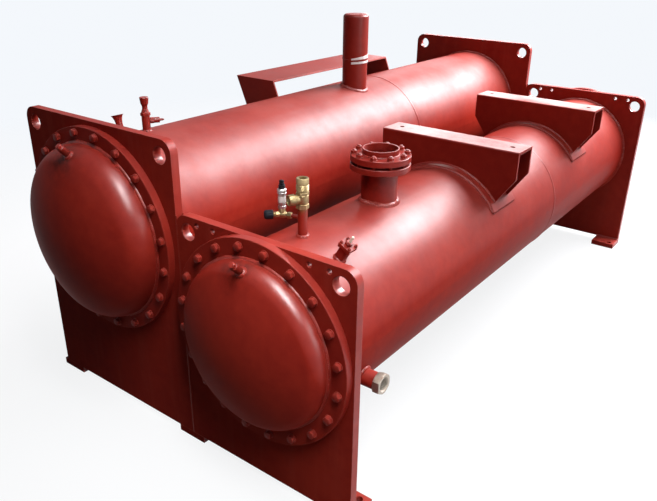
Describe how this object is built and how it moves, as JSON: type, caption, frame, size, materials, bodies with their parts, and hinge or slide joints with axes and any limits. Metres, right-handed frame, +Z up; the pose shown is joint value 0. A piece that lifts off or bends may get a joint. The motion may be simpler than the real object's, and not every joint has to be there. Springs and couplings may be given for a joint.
{
  "type": "twin shell and tube heat exchanger",
  "caption": "Evaporator and condenser vessels side by side on shared-plane tube sheets, with dished bolted heads, feet, saddles for a compressor, pipe connections and valves.",
  "frame": {"origin": "centre of the footprint box, at the undersides of the feet", "axes": "+Z up, +Y along the vessels from the plain heads towards the water pipes, +X from the evaporator to the condenser"},
  "size_m": [1.615, 3.558, 1.466],
  "materials": {
    "oxide_paint": "semi-gloss red oxide primer",
    "brass": "dull cast and turned",
    "stainless": "turned",
    "zinc_steel": "plain machined, slightly dull",
    "black_plastic": "matt",
    "gasket_fibre": "matt fibre sheet",
    "pale_plastic": "matt"
  },
  "bodies": {
    "root": {"evaporator_shell": "oxide_paint", "condenser_shell": "oxide_paint", "evaporator_front_tube_sheet": "oxide_paint", "evaporator_rear_tube_sheet": "oxide_paint", "condenser_front_tube_sheet": "oxide_paint", "condenser_rear_tube_sheet": "oxide_paint", "evaporator_front_head": "oxide_paint", "evaporator_rear_head": "oxide_paint", "condenser_front_head": "oxide_paint", "condenser_rear_head": "oxide_paint", "evaporator_water_inlet": "oxide_paint", "evaporator_water_outlet": "oxide_paint", "condenser_water_inlet": "oxide_paint", "condenser_water_outlet": "oxide_paint", "foot_front_left": "oxide_paint", "foot_front_middle": "oxide_paint", "foot_front_right": "oxide_paint", "foot_rear_left": "oxide_paint", "foot_rear_middle": "oxide_paint", "foot_rear_right": "oxide_paint", "saddle_pad_front": "oxide_paint", "saddle_pad_rear": "oxide_paint", "saddle_front": "oxide_paint", "saddle_rear": "oxide_paint", "discharge_nozzle": "oxide_paint", "discharge_companion_flange": "oxide_paint", "suction_pipe": "oxide_paint", "suction_cap": "oxide_paint", "liquid_inlet_pipe": "oxide_paint", "liquid_outlet_pipe": "oxide_paint", "control_bracket": "oxide_paint", "relief_stub": "oxide_paint", "purge_valve": "oxide_paint", "drain_stub": "oxide_paint", "charging_valve": "oxide_paint", "flare_fitting": "oxide_paint", "relief_valve": "brass", "branch_tee": "brass", "pressure_transducer": "stainless", "transducer_connector": "black_plastic", "service_valve_cap": "black_plastic", "discharge_gasket": "gasket_fibre", "purge_valve_stem": "pale_plastic", "drain_ring": "zinc_steel"}
  },
  "joints": []
}
